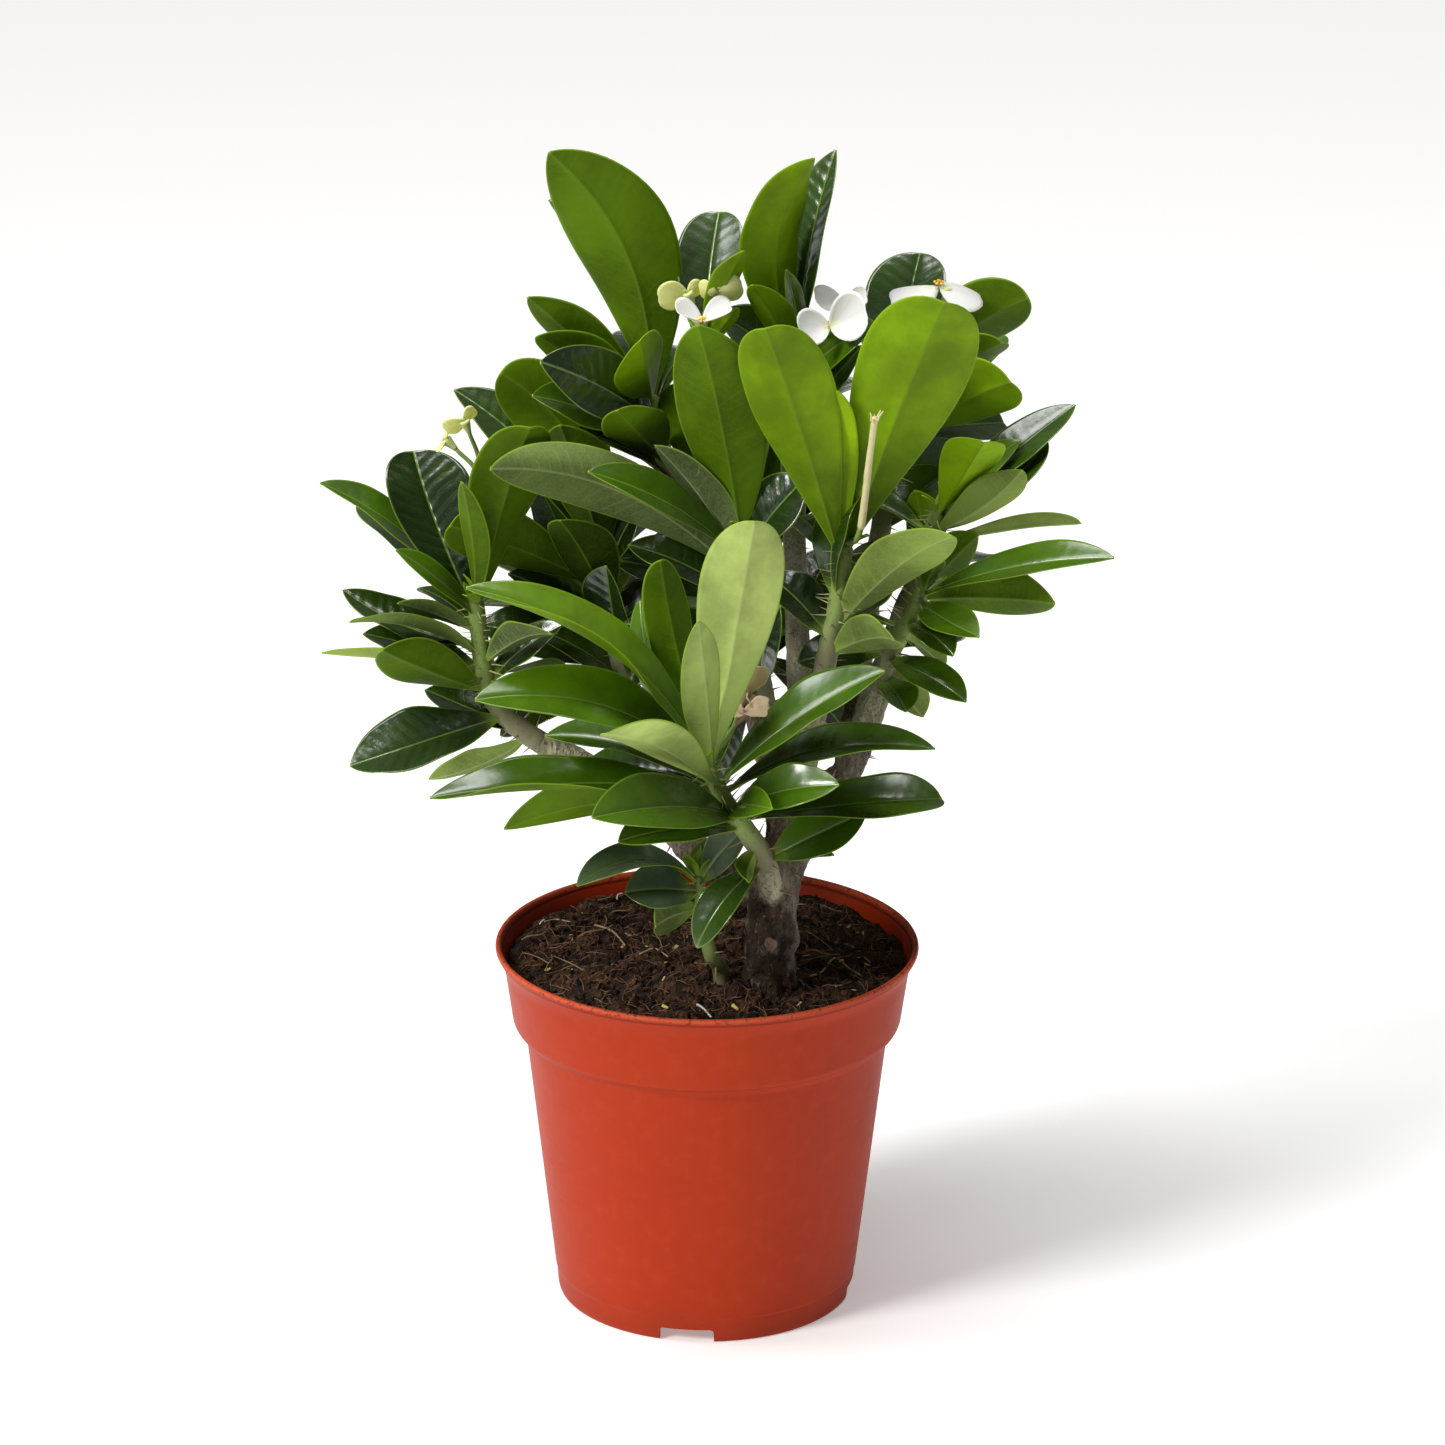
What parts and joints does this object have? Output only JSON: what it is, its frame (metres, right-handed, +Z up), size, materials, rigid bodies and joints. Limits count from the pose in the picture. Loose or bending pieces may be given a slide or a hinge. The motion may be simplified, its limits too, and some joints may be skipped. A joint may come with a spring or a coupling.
{
  "type": "potted crown of thorns",
  "caption": "Potted crown of thorns: spiny branching stems, broad leathery leaves and pale two-bract blooms, standing in a plain terracotta-coloured nursery pot of peat.",
  "frame": {"origin": "floor level, on the pot's axis, below the middle of the whole part", "axes": "+Z up, +X to the right and +Y away from the viewer, facing the side with the two foot notches in view"},
  "size_m": [0.3114, 0.2599, 0.4711],
  "materials": {
    "pot_plastic": "matte terracotta-coloured moulded plastic",
    "peat": "rough dark peat with fibres",
    "bark": "rough grey-brown bark",
    "foliage": "leathery leaf, semi-gloss above and matte below",
    "cream_bloom": "soft pale yellow bracts",
    "white_bloom": "soft white bracts",
    "dry_straw": "dry straw-coloured plant matter"
  },
  "bodies": {
    "root": {"pot": "pot_plastic", "soil": "peat", "trunk": "bark", "sucker": "foliage", "leafy_stem_front_low": "foliage", "leafy_stem_right_low": "foliage", "leafy_stem_right_mid": "foliage", "leafy_stem_back_right": "foliage", "leafy_stem_centre_right": "foliage", "leafy_stem_centre": "foliage", "leafy_stem_top_right": "foliage", "leafy_stem_top_centre": "foliage", "leafy_stem_upper_left": "foliage", "leafy_stem_left": "foliage", "leafy_stem_centre_left": "foliage", "leafy_stem_back_left": "foliage", "leafy_stem_back": "foliage", "bloom_top_centre_left": "cream_bloom", "bloom_top_centre_right": "cream_bloom", "bloom_top_centre_open": "white_bloom", "bloom_top_right_front": "white_bloom", "bloom_top_right_back": "white_bloom", "bloom_back_right": "white_bloom", "bloom_left_outer": "cream_bloom", "bloom_left_inner": "cream_bloom", "withered_bloom": "dry_straw", "withered_leaf": "dry_straw", "dry_stalk_stub": "dry_straw"}
  },
  "joints": []
}
